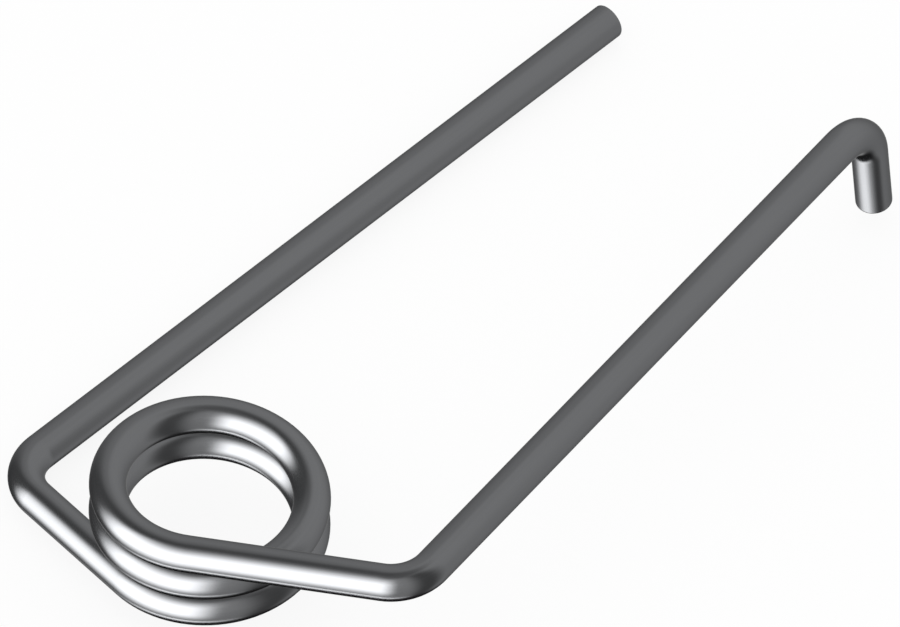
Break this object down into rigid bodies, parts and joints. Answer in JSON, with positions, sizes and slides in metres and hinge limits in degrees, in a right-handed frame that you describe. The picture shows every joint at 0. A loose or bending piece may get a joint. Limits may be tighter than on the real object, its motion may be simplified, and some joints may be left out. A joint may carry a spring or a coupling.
{
  "type": "torsion spring",
  "caption": "Torsion spring of round wire: a short close-wound coil with long bent legs side by side, the upper leg ending in a small hook bent almost square.",
  "frame": {"origin": "on the coil's axis, half way up the coil", "axes": "+Z along the coil's axis towards the hooked leg, +X the way the plain lower leg runs"},
  "size_m": [0.0623, 0.0323, 0.0111],
  "materials": {
    "spring_steel": "bright drawn"
  },
  "bodies": {
    "root": {"spring_wire": "spring_steel"}
  },
  "joints": []
}
